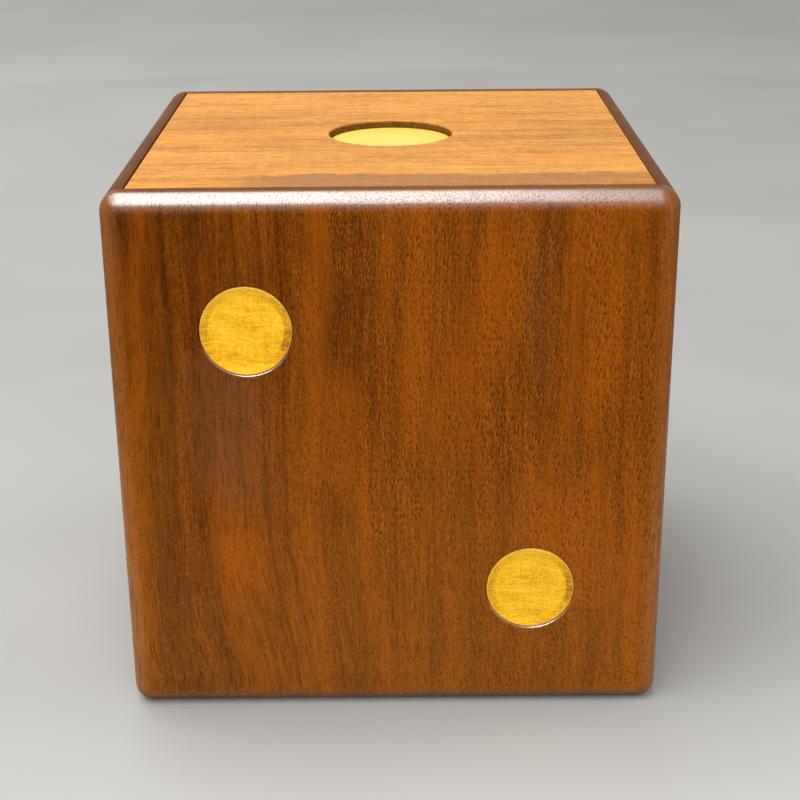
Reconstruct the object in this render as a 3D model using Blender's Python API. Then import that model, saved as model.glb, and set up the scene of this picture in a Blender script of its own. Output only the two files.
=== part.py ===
"""Wooden die box: a walnut cube with inlaid pips, a pivoting lid and a gravity lock.

The cube rests on the six. The one is on top (+Z), the two in front (-Y), the three on the right (+X), the
four on the left (-X) and the five at the back (+Y), so opposite faces add up to seven. The top board is the
lid: it turns on two brass pins set near its rear edge, and a press on the strip behind the pins raises its
front. The one pip is the key. It is a loose plug on a brass weight: it sinks while the one faces up and
draws the bolt back, and it falls flush when the cube is turned over and drives the bolt into the strike.

Metres, +Z up, origin at the middle of the face that the cube rests on. Everything is drawn at rest, with the
one on top, the lid closed and the bolt drawn back.
"""
from math import cos, pi, sin

import bmesh
import bpy
from mathutils import Matrix, Vector

MM = 0.001

# The cube
CUBE = 90.0 * MM
EDGE_RADIUS = 3.1 * MM
EDGE_STEPS = 5
HALF = CUBE / 2

# Gaps: between glued pieces, around inlaid pips, and around anything that moves
GLUE_GAP = 0.2 * MM
INLAY_GAP = 0.15 * MM
RUN_GAP = 0.3 * MM

# How far a cutting shape runs past the surface that it opens, and the angle that counts as a sharp edge
CUT_PAST = 1.0 * MM
SHARP_ANGLE = pi / 6

# Board thicknesses
FRONT_THICK = 4.6 * MM
SIDE_THICK = 3.5 * MM
BOTTOM_THICK = 5.0 * MM
LID_THICK = 6.0 * MM
LINER_THICK = 2.5 * MM
FALSE_BACK_THICK = 3.0 * MM
FELT_THICK = 2.0 * MM

# Pips: small plugs in blind pockets, with a sloped rim around a flat dished floor
PIP_OFFSET = 22.9 * MM
PIP_RADIUS = 7.35 * MM
PIP_RIM = 1.4 * MM
PIP_THICK = 2.2 * MM
PIP_DISH = 0.35 * MM
PIP_SUNK = 0.15 * MM
POCKET_DEPTH = 2.6 * MM
PIP_STEPS = 32

# The one pip and the weight under it
KEY_TRAVEL = 1.3 * MM
KEY_RADIUS = 10.8 * MM
KEY_BORE_GAP = 0.2 * MM
WEIGHT_RADIUS = 12.5 * MM
WEIGHT_HEIGHT = 8.0 * MM
WEIGHT_EDGE = 0.4 * MM
KEY_STEPS = 48

# Lid pivot: two pins on one axis along X
STRIP_LENGTH = 9.95 * MM
PIVOT_DEPTH = 2.2 * MM
PIN_RADIUS = 1.0 * MM
PIN_IN_SIDE = 2.2 * MM
PIN_IN_LID = 4.0 * MM
PIN_HOLE_GAP = 0.1 * MM
PIN_STEPS = 24
LID_REAR_GAP = 0.35 * MM
LID_SIDE_GAP = 0.25 * MM
LID_SIDE_PLAY = 0.1 * MM
PIN_LENGTH = PIN_IN_SIDE + LID_SIDE_GAP + PIN_IN_LID
FALSE_BACK_SETBACK = 7.6 * MM

# Lock: bolt, housing and strike. The bolt moves BOLT_RATIO times as far as the key.
BOLT_RATIO = 2.0
BOLT_WIDTH = 6.0 * MM
BOLT_THICK = 3.0 * MM
BOLT_BELOW_LID = 3.5 * MM
BOLT_TIP_BACK = 0.8 * MM
BOLT_TIP_BEVEL = 0.5 * MM
BOLT_TAIL_PAST_PIN = 2.4 * MM
CROSS_PIN_RADIUS = 0.8 * MM
CROSS_PIN_LENGTH = 16.0 * MM
CROSS_PIN_Y = -5.0 * MM
CROSS_PIN_GAP = 0.2 * MM
HOUSING_SIDE = 34.0 * MM
HOUSING_EDGE = 0.6 * MM
NOSE_WIDTH = 14.0 * MM
NOSE_HEIGHT = 6.2 * MM
NOSE_SUNK = 0.1 * MM
NOSE_END_Y = -34.5 * MM
CHAMBER_GAP = 0.4 * MM
COVER_THICK = 1.6 * MM
COVER_EDGE = 0.3 * MM
STRIKE_WIDTH = 26.0 * MM
STRIKE_HEIGHT = 7.3 * MM
STRIKE_THICK = 1.0 * MM
MORTISE_WIDTH = 12.0 * MM
MORTISE_DEPTH = 6.2 * MM

# Countersunk screws: head radius, shank radius, length
COVER_SCREW = (2.2 * MM, 1.0 * MM, 14.0 * MM)
STRIKE_SCREW = (1.5 * MM, 0.65 * MM, 3.6 * MM)
SCREW_HEAD_EDGE = 0.15 * MM
SCREW_TIP = 1.2 * MM
SCREW_POINT = 0.25
SCREW_GAP = 0.12 * MM
SCREW_SLOT = (0.45 * MM, 0.4 * MM)
SCREW_STEPS = 20
COVER_SCREW_OFFSET = 13.5 * MM
STRIKE_SCREW_OFFSET = 9.5 * MM

# Heights and depths that follow from the sizes above
FRONT_INNER = HALF - FRONT_THICK
SIDE_INNER = HALF - SIDE_THICK
FLOOR_TOP = BOTTOM_THICK + GLUE_GAP
LID_UNDER = CUBE - LID_THICK
LINER_TOP = LID_UNDER - RUN_GAP
LINER_FACE = FRONT_INNER - GLUE_GAP - LINER_THICK
LID_REAR = FRONT_INNER - LID_REAR_GAP
LID_FRONT = -(FRONT_INNER - RUN_GAP)
PIVOT = Vector((0.0, LID_REAR - STRIP_LENGTH, CUBE - PIVOT_DEPTH))
FALSE_BACK_FRONT = PIVOT.y - FALSE_BACK_SETBACK
WEIGHT_TOP = LID_UNDER - RUN_GAP - KEY_TRAVEL
COVER_TOP = WEIGHT_TOP - WEIGHT_HEIGHT - RUN_GAP
HOUSING_TOP = LID_UNDER - GLUE_GAP
HOUSING_BOTTOM = COVER_TOP + GLUE_GAP
KEY_TOP = CUBE - KEY_TRAVEL
BOLT_Z = LID_UNDER - BOLT_BELOW_LID
BOLT_TRAVEL = BOLT_RATIO * KEY_TRAVEL
BOLT_TIP_Y = -(LINER_FACE - BOLT_TIP_BACK)
BOLT_TAIL_Y = CROSS_PIN_Y + BOLT_TAIL_PAST_PIN
STRIKE_TOP = LINER_TOP - GLUE_GAP

# Turns that point a shape drawn along +Z at each face of the cube
TO_BOTTOM = Matrix.Rotation(pi, 4, "X")
TO_FRONT = Matrix.Rotation(pi / 2, 4, "X")
TO_BACK = Matrix.Rotation(pi, 4, "Z") @ TO_FRONT
TO_RIGHT = Matrix.Rotation(pi / 2, 4, "Z") @ TO_FRONT
TO_LEFT = Matrix.Rotation(-pi / 2, 4, "Z") @ TO_FRONT

# Each numbered face: its turn, and its pips in steps of PIP_OFFSET right and up, seen from outside
FACES = {
    "two": (TO_FRONT, [(-1, 1), (1, -1)]),
    "three": (TO_RIGHT, [(-1, -1), (0, 0), (1, 1)]),
    "four": (TO_LEFT, [(-1, 1), (1, 1), (-1, -1), (1, -1)]),
    "five": (TO_BACK, [(-1, 1), (1, 1), (0, 0), (-1, -1), (1, -1)]),
    "six": (TO_BOTTOM, [(-1, 1), (1, 1), (-1, 0), (1, 0), (-1, -1), (1, -1)]),
}


def clear_scene():
    for obj in list(bpy.data.objects):
        bpy.data.objects.remove(obj, do_unlink=True)


def make_material(name, colour, roughness, metallic=0.0):
    material = bpy.data.materials.new(name)
    material.use_nodes = True
    shader = material.node_tree.nodes["Principled BSDF"]
    shader.inputs["Base Color"].default_value = (*colour, 1.0)
    shader.inputs["Roughness"].default_value = roughness
    shader.inputs["Metallic"].default_value = metallic
    return material


# ---- Shapes drawn into a bmesh ----

def add_box(bm, low, high):
    """A block between two corners."""
    low = Vector(low)
    high = Vector(high)
    made = bmesh.ops.create_cube(bm, size=1.0)
    bmesh.ops.scale(bm, vec=high - low, verts=made["verts"])
    bmesh.ops.translate(bm, vec=(low + high) / 2, verts=made["verts"])


def add_turned(bm, profile, steps, matrix=Matrix()):
    """A solid of revolution about Z. The profile lists (radius, height) from lowest ring to highest."""
    rings = []
    for radius, height in profile:
        ring = []
        for step in range(steps):
            angle = 2 * pi * step / steps
            ring.append(bm.verts.new(matrix @ Vector((radius * cos(angle), radius * sin(angle), height))))
        rings.append(ring)
    for lower, upper in zip(rings, rings[1:]):
        for step in range(steps):
            after = (step + 1) % steps
            bm.faces.new((lower[step], lower[after], upper[after], upper[step]))
    bm.faces.new(reversed(rings[0]))
    bm.faces.new(rings[-1])


def add_rod(bm, radius, length, steps, matrix=Matrix()):
    """A plain rod about Z, centred on the origin."""
    add_turned(bm, [(radius, -length / 2), (radius, length / 2)], steps, matrix)


def add_slot(bm, start, end, radius, length, steps=12):
    """A round-ended slot that runs through along X, between two (y, z) centres."""
    run = Vector(end) - Vector(start)
    across = Vector((run.y, -run.x)).normalized()
    along = run.normalized()
    outline = []
    for centre, side in ((Vector(end), 1), (Vector(start), -1)):
        for step in range(steps + 1):
            angle = pi * step / steps
            outline.append(centre + side * radius * (cos(angle) * across + sin(angle) * along))
    ends = [[bm.verts.new((x, y, z)) for y, z in outline] for x in (-length / 2, length / 2)]
    bm.faces.new(ends[0])
    bm.faces.new(ends[1])
    for index in range(len(outline)):
        after = (index + 1) % len(outline)
        bm.faces.new((ends[0][index], ends[0][after], ends[1][after], ends[1][index]))


def screw_profile(size, gap=0.0):
    """Half outline of a countersunk screw about Z, its head's top at 0. A gap makes it the screw's hole."""
    head, shank, length = size
    cone = head - shank
    profile = [(shank * SCREW_POINT + gap, -length - gap), (shank + gap, -length + SCREW_TIP)]
    profile += [(shank + gap, -SCREW_HEAD_EDGE - cone), (head + gap, -SCREW_HEAD_EDGE)]
    profile += [(head + gap, CUT_PAST if gap else 0.0)]
    return profile


# ---- Objects ----

def make_object(name, bm, smooth=False):
    """Turn a bmesh in world coordinates into an object at the world's origin."""
    bmesh.ops.recalc_face_normals(bm, faces=bm.faces)
    mesh = bpy.data.meshes.new(name)
    bm.to_mesh(mesh)
    bm.free()
    if smooth:
        mesh.shade_smooth()
        mesh.set_sharp_from_angle(angle=SHARP_ANGLE)
    obj = bpy.data.objects.new(name, mesh)
    bpy.context.scene.collection.objects.link(obj)
    return obj


def make_part(name, bm, material, centre=(0, 0, 0), mover=None, smooth=False):
    """A sub-part with its origin at centre, drawn in world coordinates and parented to its body's empty."""
    bmesh.ops.translate(bm, vec=-Vector(centre), verts=bm.verts)
    obj = make_object(name, bm, smooth)
    obj.data.materials.append(material)
    obj.location = centre
    if mover:
        obj.parent = mover
        obj.location = Vector(centre) - Vector(mover["place"])
    return obj


def make_cutter(name, bm):
    cutter = make_object(name, bm)
    cutter.hide_render = True
    cutter.display_type = "WIRE"
    return cutter


def make_mover(name, place, parent=None):
    """An empty on a joint's axis that carries one moving body."""
    mover = bpy.data.objects.new(name, None)
    mover["place"] = Vector(place)
    mover.location = place
    if parent:
        mover.parent = parent
        mover.location = Vector(place) - Vector(parent["place"])
    bpy.context.scene.collection.objects.link(mover)
    return mover


def boolean(obj, cutter, operation="DIFFERENCE"):
    modifier = obj.modifiers.new(operation.lower(), "BOOLEAN")
    modifier.operation = operation
    modifier.solver = "EXACT"
    modifier.object = cutter


def ease_edges(obj, width):
    """Chamfer every edge of a piece."""
    modifier = obj.modifiers.new("eased_edges", "BEVEL")
    modifier.width = width
    modifier.segments = 1


def make_block(name, low, high, material, mover=None):
    """A rectangular piece between two world corners, with its origin at its middle."""
    bm = bmesh.new()
    add_box(bm, low, high)
    return make_part(name, bm, material, (Vector(low) + Vector(high)) / 2, mover)


# ---- Cutters that several pieces share ----

def cube_outline():
    """The rounded cube that the outer boards are trimmed to."""
    bm = bmesh.new()
    add_box(bm, (-HALF, -HALF, 0), (HALF, HALF, CUBE))
    edges = bm.edges[:]
    bmesh.ops.bevel(bm, geom=edges, offset=EDGE_RADIUS, segments=EDGE_STEPS, profile=0.5, affect="EDGES")
    return make_cutter("cube_outline", bm)


def pip_places(face):
    """World matrices of a face's pips: origin on the outer surface, +Z pointing out of the cube."""
    turn, steps = FACES[face]
    middle = Matrix.Translation((0, 0, HALF))
    for right, up in steps:
        yield middle @ turn @ Matrix.Translation((right * PIP_OFFSET, up * PIP_OFFSET, HALF))


def pip_pockets(face):
    bm = bmesh.new()
    radius = PIP_RADIUS + INLAY_GAP
    for place in pip_places(face):
        add_turned(bm, [(radius, -POCKET_DEPTH), (radius, CUT_PAST)], PIP_STEPS, place)
    return make_cutter(face + "_pockets", bm)


def pivot_matrix(side):
    """Middle of the left (-1) or right (+1) pivot pin, with Z along the pin."""
    inner_end = SIDE_INNER - LID_SIDE_GAP - PIN_IN_LID
    outer_end = SIDE_INNER + PIN_IN_SIDE
    x = side * (inner_end + outer_end) / 2
    return Matrix.Translation((x, PIVOT.y, PIVOT.z)) @ Matrix.Rotation(pi / 2, 4, "Y")


def pivot_holes():
    bm = bmesh.new()
    for side in (-1, 1):
        length = PIN_LENGTH + 2 * (LID_SIDE_PLAY + PIN_HOLE_GAP)
        add_rod(bm, PIN_RADIUS + PIN_HOLE_GAP, length, PIN_STEPS, pivot_matrix(side))
    return make_cutter("pivot_holes", bm)


def cover_screw_places():
    """Heads of the four cover screws, pointing down into the compartment."""
    for x in (-COVER_SCREW_OFFSET, COVER_SCREW_OFFSET):
        for y in (-COVER_SCREW_OFFSET, COVER_SCREW_OFFSET):
            yield Matrix.Translation((x, y, COVER_TOP - COVER_THICK)) @ TO_BOTTOM


def strike_screw_places():
    """Heads of the two strike screws, facing back into the compartment."""
    for x in (-STRIKE_SCREW_OFFSET, STRIKE_SCREW_OFFSET):
        yield Matrix.Translation((x, -LINER_FACE, BOLT_Z)) @ TO_BACK


def screw_holes(name, size, places):
    bm = bmesh.new()
    for place in places:
        add_turned(bm, screw_profile(size, SCREW_GAP), SCREW_STEPS, place)
    return make_cutter(name, bm)


def bolt_window(name, low_y, high_y):
    """A rectangular hole for the bolt, with its clearance, between two depths."""
    bm = bmesh.new()
    half_width = BOLT_WIDTH / 2 + RUN_GAP
    half_height = BOLT_THICK / 2 + RUN_GAP
    add_box(bm, (-half_width, low_y, BOLT_Z - half_height), (half_width, high_y, BOLT_Z + half_height))
    return make_cutter(name, bm)


# ---- The case ----

def build_walls(walnut, outline, pin_holes, strike_holes):
    """Front and back boards lap the ends of the two side boards. All four are rounded off as one cube."""
    side_end = FRONT_INNER - GLUE_GAP
    walls = {
        "front_board": ("two", (-HALF, -HALF, 0), (HALF, -FRONT_INNER, CUBE)),
        "back_board": ("five", (-HALF, FRONT_INNER, 0), (HALF, HALF, CUBE)),
        "left_board": ("four", (-HALF, -side_end, 0), (-SIDE_INNER, side_end, CUBE)),
        "right_board": ("three", (SIDE_INNER, -side_end, 0), (HALF, side_end, CUBE)),
    }
    for name, (face, low, high) in walls.items():
        board = make_block(name, low, high, walnut)
        boolean(board, outline, "INTERSECT")
        boolean(board, pip_pockets(face))
        if name in ("left_board", "right_board"):
            boolean(board, pin_holes)
        if name == "front_board":
            boolean(board, strike_holes)


def build_bottom(walnut):
    edge_x = SIDE_INNER - GLUE_GAP
    edge_y = FRONT_INNER - GLUE_GAP
    board = make_block("bottom_board", (-edge_x, -edge_y, 0), (edge_x, edge_y, BOTTOM_THICK), walnut)
    boolean(board, pip_pockets("six"))


def build_pips(pip_wood):
    """The twenty small plugs, each with a sloped rim that runs down to a flat floor."""
    top = -PIP_SUNK
    floor = top - PIP_DISH
    outline = [(PIP_RADIUS, top - PIP_THICK), (PIP_RADIUS, top), (PIP_RADIUS - PIP_RIM, floor)]
    bm = bmesh.new()
    add_turned(bm, outline, PIP_STEPS)
    pattern = make_object("pip_pattern", bm, smooth=True)
    pattern.data.materials.append(pip_wood)
    for face in FACES:
        for number, place in enumerate(pip_places(face), 1):
            pip = bpy.data.objects.new(f"{face}_pip_{number}", pattern.data)
            pip.location = place.to_translation()
            pip.rotation_euler = place.to_euler()
            bpy.context.scene.collection.objects.link(pip)
    bpy.data.objects.remove(pattern)


def build_liners(liner_wood, felt, strike_holes):
    """Thin boards that line the compartment and carry the lid, and the felt on its floor."""
    edge_x = SIDE_INNER - RUN_GAP
    front_y = -(FRONT_INNER - GLUE_GAP)
    back_y = FALSE_BACK_FRONT + FALSE_BACK_THICK
    make_block("false_back", (-edge_x, FALSE_BACK_FRONT, FLOOR_TOP), (edge_x, back_y, LINER_TOP), liner_wood)

    low = (-edge_x, front_y, FLOOR_TOP)
    liner = make_block("liner_front", low, (edge_x, -LINER_FACE, LINER_TOP), liner_wood)
    bm = bmesh.new()
    recess_x = STRIKE_WIDTH / 2 + GLUE_GAP
    recess_y = -LINER_FACE - STRIKE_THICK - GLUE_GAP
    recess_low = STRIKE_TOP - STRIKE_HEIGHT - GLUE_GAP
    high = (recess_x, -LINER_FACE + CUT_PAST, LINER_TOP + CUT_PAST)
    add_box(bm, (-recess_x, recess_y, recess_low), high)
    boolean(liner, make_cutter("strike_recess", bm))
    bm = bmesh.new()
    mortise_x = MORTISE_WIDTH / 2
    high = (mortise_x, -LINER_FACE + CUT_PAST, LINER_TOP + CUT_PAST)
    add_box(bm, (-mortise_x, front_y - CUT_PAST, LINER_TOP - MORTISE_DEPTH), high)
    boolean(liner, make_cutter("bolt_mortise", bm))
    boolean(liner, strike_holes)

    side_front = -LINER_FACE + GLUE_GAP
    side_back = FALSE_BACK_FRONT - GLUE_GAP
    inner_x = edge_x - LINER_THICK
    make_block("liner_left", (-edge_x, side_front, FLOOR_TOP), (-inner_x, side_back, LINER_TOP), liner_wood)
    make_block("liner_right", (inner_x, side_front, FLOOR_TOP), (edge_x, side_back, LINER_TOP), liner_wood)

    low = (-inner_x + RUN_GAP, side_front + RUN_GAP, FLOOR_TOP + GLUE_GAP)
    high = (inner_x - RUN_GAP, side_back - RUN_GAP, FLOOR_TOP + GLUE_GAP + FELT_THICK)
    make_block("felt_pad", low, high, felt)


def build_strike(brass, strike_holes):
    """The plate that the bolt enters, let into the front liner."""
    half = STRIKE_WIDTH / 2
    low = (-half, -LINER_FACE - STRIKE_THICK, STRIKE_TOP - STRIKE_HEIGHT)
    plate = make_block("strike_plate", low, (half, -LINER_FACE, STRIKE_TOP), brass)
    boolean(plate, bolt_window("strike_window", -FRONT_INNER, 0))
    boolean(plate, strike_holes)


def build_pivot_pins(brass):
    for name, side in (("pivot_pin_left", -1), ("pivot_pin_right", 1)):
        bm = bmesh.new()
        add_rod(bm, PIN_RADIUS, PIN_LENGTH, PIN_STEPS, pivot_matrix(side))
        make_part(name, bm, brass, pivot_matrix(side).to_translation(), smooth=True)


# ---- The lid and the lock under it ----

def build_lid(walnut, lid_mover, pin_holes, cover_holes):
    """The top board, pushed over by its side play so that its left seam is the wider one."""
    half_x = SIDE_INNER - LID_SIDE_GAP
    low = (-half_x + LID_SIDE_PLAY, LID_FRONT, LID_UNDER)
    high = (half_x + LID_SIDE_PLAY, LID_REAR, CUBE)
    lid = make_block("lid_board", low, high, walnut, lid_mover)
    bm = bmesh.new()
    length = 2 * (LID_THICK + CUT_PAST)
    add_rod(bm, KEY_RADIUS + KEY_BORE_GAP, length, KEY_STEPS, Matrix.Translation((0, 0, CUBE)))
    boolean(lid, make_cutter("key_bore", bm))
    boolean(lid, pin_holes)
    boolean(lid, cover_holes)


def build_housing(hard_wood, lid_mover, cover_holes):
    """A block with the weight's round chamber, and a nose that guides the bolt."""
    half = HOUSING_SIDE / 2
    low = (-half, -half, HOUSING_BOTTOM)
    housing = make_block("lock_housing", low, (half, half, HOUSING_TOP), hard_wood, lid_mover)
    ease_edges(housing, HOUSING_EDGE)

    bm = bmesh.new()
    nose_low = (-NOSE_WIDTH / 2, NOSE_END_Y, HOUSING_TOP - NOSE_HEIGHT)
    add_box(bm, nose_low, (NOSE_WIDTH / 2, -half + 2 * HOUSING_EDGE, HOUSING_TOP - NOSE_SUNK))
    boolean(housing, make_cutter("housing_nose", bm), "UNION")

    bm = bmesh.new()
    middle = Matrix.Translation((0, 0, HOUSING_BOTTOM))
    length = 2 * (HOUSING_TOP - HOUSING_BOTTOM + CUT_PAST)
    add_rod(bm, WEIGHT_RADIUS + CHAMBER_GAP, length, KEY_STEPS, middle)
    boolean(housing, make_cutter("weight_chamber", bm))
    boolean(housing, bolt_window("bolt_channel", NOSE_END_Y - CUT_PAST, -WEIGHT_RADIUS + CUT_PAST))

    bm = bmesh.new()
    from_left = Matrix.Translation((-half, CROSS_PIN_Y, BOLT_Z)) @ Matrix.Rotation(pi / 2, 4, "Y")
    add_rod(bm, CROSS_PIN_RADIUS + 2 * RUN_GAP, half, PIN_STEPS, from_left)
    boolean(housing, make_cutter("cross_pin_access", bm))
    boolean(housing, cover_holes)


def build_cover(brass, lid_mover, cover_holes):
    half = HOUSING_SIDE / 2
    low = (-half, -half, COVER_TOP - COVER_THICK)
    cover = make_block("lock_cover", low, (half, half, COVER_TOP), brass, lid_mover)
    ease_edges(cover, COVER_EDGE)
    boolean(cover, cover_holes)


def build_key(pip_wood, brass, key_mover):
    """The one pip, glued on a brass weight whose slanted slots move the bolt's cross pin."""
    bm = bmesh.new()
    low = WEIGHT_TOP + GLUE_GAP
    add_turned(bm, [(KEY_RADIUS, low), (KEY_RADIUS, KEY_TOP)], KEY_STEPS)
    make_part("one_pip", bm, pip_wood, (0, 0, KEY_TOP), key_mover, smooth=True)

    bm = bmesh.new()
    low = WEIGHT_TOP - WEIGHT_HEIGHT
    outline = [(WEIGHT_RADIUS - WEIGHT_EDGE, low), (WEIGHT_RADIUS, low + WEIGHT_EDGE)]
    outline += [(WEIGHT_RADIUS, WEIGHT_TOP - WEIGHT_EDGE), (WEIGHT_RADIUS - WEIGHT_EDGE, WEIGHT_TOP)]
    add_turned(bm, outline, KEY_STEPS)
    weight = make_part("key_weight", bm, brass, (0, 0, WEIGHT_TOP), key_mover, smooth=True)

    bm = bmesh.new()
    half_width = BOLT_WIDTH / 2 + RUN_GAP
    slot_low = BOLT_Z - BOLT_THICK / 2 - KEY_TRAVEL - 2 * RUN_GAP
    slot_back = BOLT_TAIL_Y + 2 * RUN_GAP
    slot_front = -WEIGHT_RADIUS - CUT_PAST
    add_box(bm, (-half_width, slot_front, slot_low), (half_width, slot_back, WEIGHT_TOP + CUT_PAST))
    boolean(weight, make_cutter("bolt_slot", bm))

    bm = bmesh.new()
    start = (CROSS_PIN_Y, BOLT_Z)
    end = (CROSS_PIN_Y - BOLT_TRAVEL, BOLT_Z - KEY_TRAVEL)
    add_slot(bm, start, end, CROSS_PIN_RADIUS + CROSS_PIN_GAP, 2 * (WEIGHT_RADIUS + CUT_PAST))
    boolean(weight, make_cutter("cross_pin_slots", bm))


def build_bolt(brass, steel, bolt_mover):
    half_width = BOLT_WIDTH / 2
    low = Vector((-half_width, BOLT_TIP_Y, BOLT_Z - BOLT_THICK / 2))
    high = Vector((half_width, BOLT_TAIL_Y, BOLT_Z + BOLT_THICK / 2))
    bm = bmesh.new()
    add_box(bm, low, high)
    tip = [edge for edge in bm.edges if all(vert.co.y < BOLT_TIP_Y + GLUE_GAP for vert in edge.verts)]
    bmesh.ops.bevel(bm, geom=tip, offset=BOLT_TIP_BEVEL, segments=2, profile=0.5, affect="EDGES")
    bolt = make_part("lock_bolt", bm, brass, (0, BOLT_TIP_Y, BOLT_Z), bolt_mover)
    across = Matrix.Translation((0, CROSS_PIN_Y, BOLT_Z)) @ Matrix.Rotation(pi / 2, 4, "Y")
    bm = bmesh.new()
    add_rod(bm, CROSS_PIN_RADIUS + PIN_HOLE_GAP, BOLT_WIDTH + 2 * CUT_PAST, PIN_STEPS, across)
    boolean(bolt, make_cutter("cross_pin_hole", bm))

    bm = bmesh.new()
    add_rod(bm, CROSS_PIN_RADIUS, CROSS_PIN_LENGTH, PIN_STEPS, across)
    make_part("cross_pin", bm, steel, (0, CROSS_PIN_Y, BOLT_Z), bolt_mover, smooth=True)


def build_screws(names, size, places, brass, mover=None):
    """Slotted countersunk screws that share one mesh."""
    bm = bmesh.new()
    add_turned(bm, screw_profile(size), SCREW_STEPS)
    pattern = make_object("screw_pattern", bm)
    bm = bmesh.new()
    width, depth = SCREW_SLOT
    reach = size[0] + CUT_PAST
    add_box(bm, (-reach, -width / 2, -depth), (reach, width / 2, CUT_PAST))
    cutter = make_object("screw_slot", bm)
    boolean(pattern, cutter)
    mesh = bpy.data.meshes.new_from_object(pattern.evaluated_get(bpy.context.evaluated_depsgraph_get()))
    mesh.materials.clear()
    mesh.materials.append(brass)
    mesh.shade_smooth()
    mesh.set_sharp_from_angle(angle=SHARP_ANGLE)
    for name, place in zip(names, places):
        screw = bpy.data.objects.new(name, mesh)
        screw.location = place.to_translation()
        screw.rotation_euler = place.to_euler()
        if mover:
            screw.parent = mover
            screw.location = place.to_translation() - Vector(mover["place"])
        bpy.context.scene.collection.objects.link(screw)
    bpy.data.objects.remove(pattern)
    bpy.data.objects.remove(cutter)


def main():
    clear_scene()
    walnut = make_material("walnut", (0.205, 0.066, 0.016), 0.38)
    pip_wood = make_material("pip_wood", (0.78, 0.44, 0.07), 0.42)
    liner_wood = make_material("liner_wood", (0.36, 0.19, 0.085), 0.55)
    hard_wood = make_material("hard_wood", (0.62, 0.43, 0.24), 0.5)
    brass = make_material("brass", (0.78, 0.56, 0.24), 0.32, 1.0)
    steel = make_material("steel", (0.56, 0.57, 0.58), 0.3, 1.0)
    felt = make_material("felt", (0.02, 0.11, 0.055), 0.95)

    lid_mover = make_mover("lid_axis", PIVOT)
    key_mover = make_mover("key_axis", (0, 0, KEY_TOP), lid_mover)
    bolt_mover = make_mover("bolt_axis", (0, BOLT_TIP_Y, BOLT_Z), lid_mover)

    outline = cube_outline()
    pin_holes = pivot_holes()
    cover_holes = screw_holes("cover_screw_holes", COVER_SCREW, cover_screw_places())
    strike_holes = screw_holes("strike_screw_holes", STRIKE_SCREW, strike_screw_places())

    build_walls(walnut, outline, pin_holes, strike_holes)
    build_bottom(walnut)
    build_pips(pip_wood)
    build_liners(liner_wood, felt, strike_holes)
    build_strike(brass, strike_holes)
    build_pivot_pins(brass)
    build_lid(walnut, lid_mover, pin_holes, cover_holes)
    build_housing(hard_wood, lid_mover, cover_holes)
    build_cover(brass, lid_mover, cover_holes)
    build_key(pip_wood, brass, key_mover)
    build_bolt(brass, steel, bolt_mover)
    cover_screws = [f"cover_screw_{number}" for number in (1, 2, 3, 4)]
    build_screws(cover_screws, COVER_SCREW, cover_screw_places(), brass, lid_mover)
    build_screws(["strike_screw_left", "strike_screw_right"], STRIKE_SCREW, strike_screw_places(), brass)


main()
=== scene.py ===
"""The looks of the wooden die box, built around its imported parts, in the parts' own frame (metres, +Z up)."""

import random
from math import cos, pi, radians, sin, sqrt

import bmesh
import bpy
from mathutils import Euler, Matrix, Vector, noise


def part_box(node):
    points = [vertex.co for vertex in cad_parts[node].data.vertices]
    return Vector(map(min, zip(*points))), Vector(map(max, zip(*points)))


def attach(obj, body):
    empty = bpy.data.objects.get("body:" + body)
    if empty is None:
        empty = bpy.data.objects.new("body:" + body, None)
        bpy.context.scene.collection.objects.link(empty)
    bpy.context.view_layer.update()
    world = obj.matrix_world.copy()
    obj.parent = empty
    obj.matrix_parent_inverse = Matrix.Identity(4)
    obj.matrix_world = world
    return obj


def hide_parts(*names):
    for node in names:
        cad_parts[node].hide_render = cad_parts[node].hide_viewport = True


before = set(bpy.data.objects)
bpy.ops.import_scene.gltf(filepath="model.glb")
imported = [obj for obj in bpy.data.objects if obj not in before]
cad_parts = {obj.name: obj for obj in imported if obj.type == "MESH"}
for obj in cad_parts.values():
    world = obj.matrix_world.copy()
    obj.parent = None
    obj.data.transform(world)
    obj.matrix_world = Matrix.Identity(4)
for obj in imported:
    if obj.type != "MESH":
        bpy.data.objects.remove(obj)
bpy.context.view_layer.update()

MM = 0.001

# ---- Sizes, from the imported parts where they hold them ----

FRONT_LOW, FRONT_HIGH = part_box("front_board")
RIGHT_LOW, RIGHT_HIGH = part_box("right_board")
LID_LOW, LID_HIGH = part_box("lid_board")
BOTTOM_LOW, BOTTOM_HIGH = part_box("bottom_board")
KEY_LOW, KEY_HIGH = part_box("one_pip")
PIN_LOW, PIN_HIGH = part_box("pivot_pin_left")
HALF = FRONT_HIGH.x
CUBE = FRONT_HIGH.z
FRONT_THICK = FRONT_HIGH.y - FRONT_LOW.y
SIDE_THICK = RIGHT_HIGH.x - RIGHT_LOW.x
SIDE_END = RIGHT_HIGH.y
LID_THICK = LID_HIGH.z - LID_LOW.z
BOTTOM_THICK = BOTTOM_HIGH.z - BOTTOM_LOW.z

EDGE_RADIUS = 3.1 * MM      # the cube's rounded edges
ARRIS = 0.15 * MM           # eased corners at the seams
SUPPORT = 0.5 * MM          # narrow strip that keeps flats flat next to a rounding
CELL = 11.45 * MM           # half of the mesh cell around a pip
LID_CELL = 20.0 * MM        # the same around the lid's bore
LID_SEAM_FILL = 0.07 * MM   # how much wider the lid is on each side than its CAD node
CELL_STEPS = 18
EDGE_STEPS = 14
CORNER_STEPS = 14
ARRIS_STEPS = 4
LIP_STEPS = 6

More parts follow.
